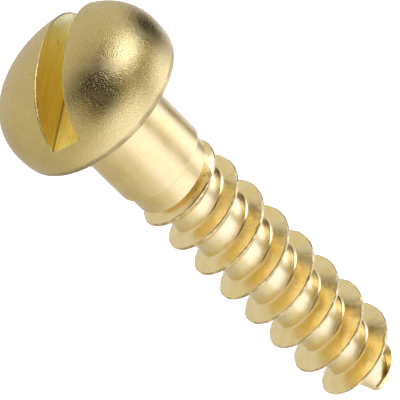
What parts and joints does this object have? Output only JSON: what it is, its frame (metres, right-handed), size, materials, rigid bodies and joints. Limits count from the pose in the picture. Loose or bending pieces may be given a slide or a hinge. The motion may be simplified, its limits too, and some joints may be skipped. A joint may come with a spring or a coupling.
{
  "type": "wood screw",
  "caption": "Slotted round-head wood screw with a plain shank, a coarse right-hand thread on a tapered core and a gimlet point.",
  "frame": {"origin": "on the shank's axis, in the plane of the bearing face under the head", "axes": "+Z along the shank's axis from the point to the top of the head; the driver slot runs along X"},
  "size_m": [0.0076, 0.0075, 0.0222],
  "materials": {
    "tumbled_brass": "satin, barrel tumbled, with fine pits and small nicks",
    "bright_brass": "bright drawn wire, burnished along the axis",
    "cut_brass": "freshly cut, with fine tool marks round the thread"
  },
  "bodies": {
    "root": {"head": "tumbled_brass", "shank": "bright_brass", "core": "cut_brass", "thread": "cut_brass", "point": "cut_brass"}
  },
  "joints": []
}
